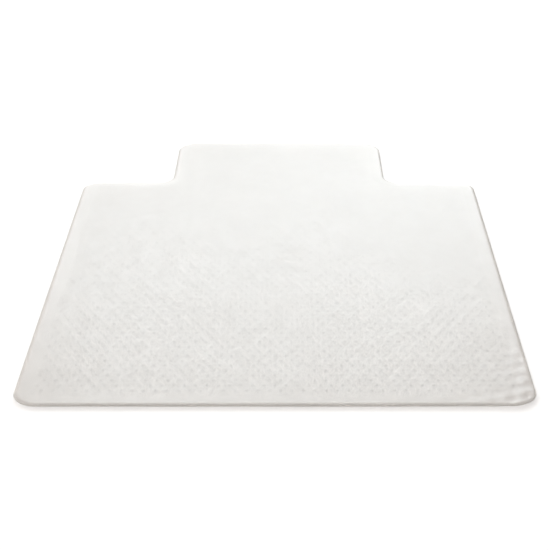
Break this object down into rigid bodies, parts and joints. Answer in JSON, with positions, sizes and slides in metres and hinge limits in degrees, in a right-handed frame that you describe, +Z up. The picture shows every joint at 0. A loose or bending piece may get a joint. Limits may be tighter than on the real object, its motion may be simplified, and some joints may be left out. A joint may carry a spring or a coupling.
{
  "type": "chair mat",
  "caption": "Flat clear vinyl floor mat for carpet, with a narrower lip that goes under a desk, an embossed top, a smooth bevelled border and tapered studs underneath.",
  "frame": {"origin": "on the floor, under the middle of the mat's bounding rectangle", "axes": "+Y towards the lip that goes under the desk, so the chair rolls on from -Y; +Z up, with the studs' tips on the floor at z = 0"},
  "size_m": [0.9144, 1.2192, 0.0068],
  "materials": {
    "embossed_vinyl": "satin",
    "smooth_vinyl": "gloss"
  },
  "bodies": {
    "root": {"field_main": "embossed_vinyl", "field_lip": "embossed_vinyl", "border_front": "smooth_vinyl", "border_right": "smooth_vinyl", "border_rear_right": "smooth_vinyl", "border_lip_right": "smooth_vinyl", "border_lip_rear": "smooth_vinyl", "border_lip_left": "smooth_vinyl", "border_rear_left": "smooth_vinyl", "border_left": "smooth_vinyl", "studs_bearing": "smooth_vinyl", "studs_main": "smooth_vinyl", "studs_lip": "smooth_vinyl"}
  },
  "joints": []
}
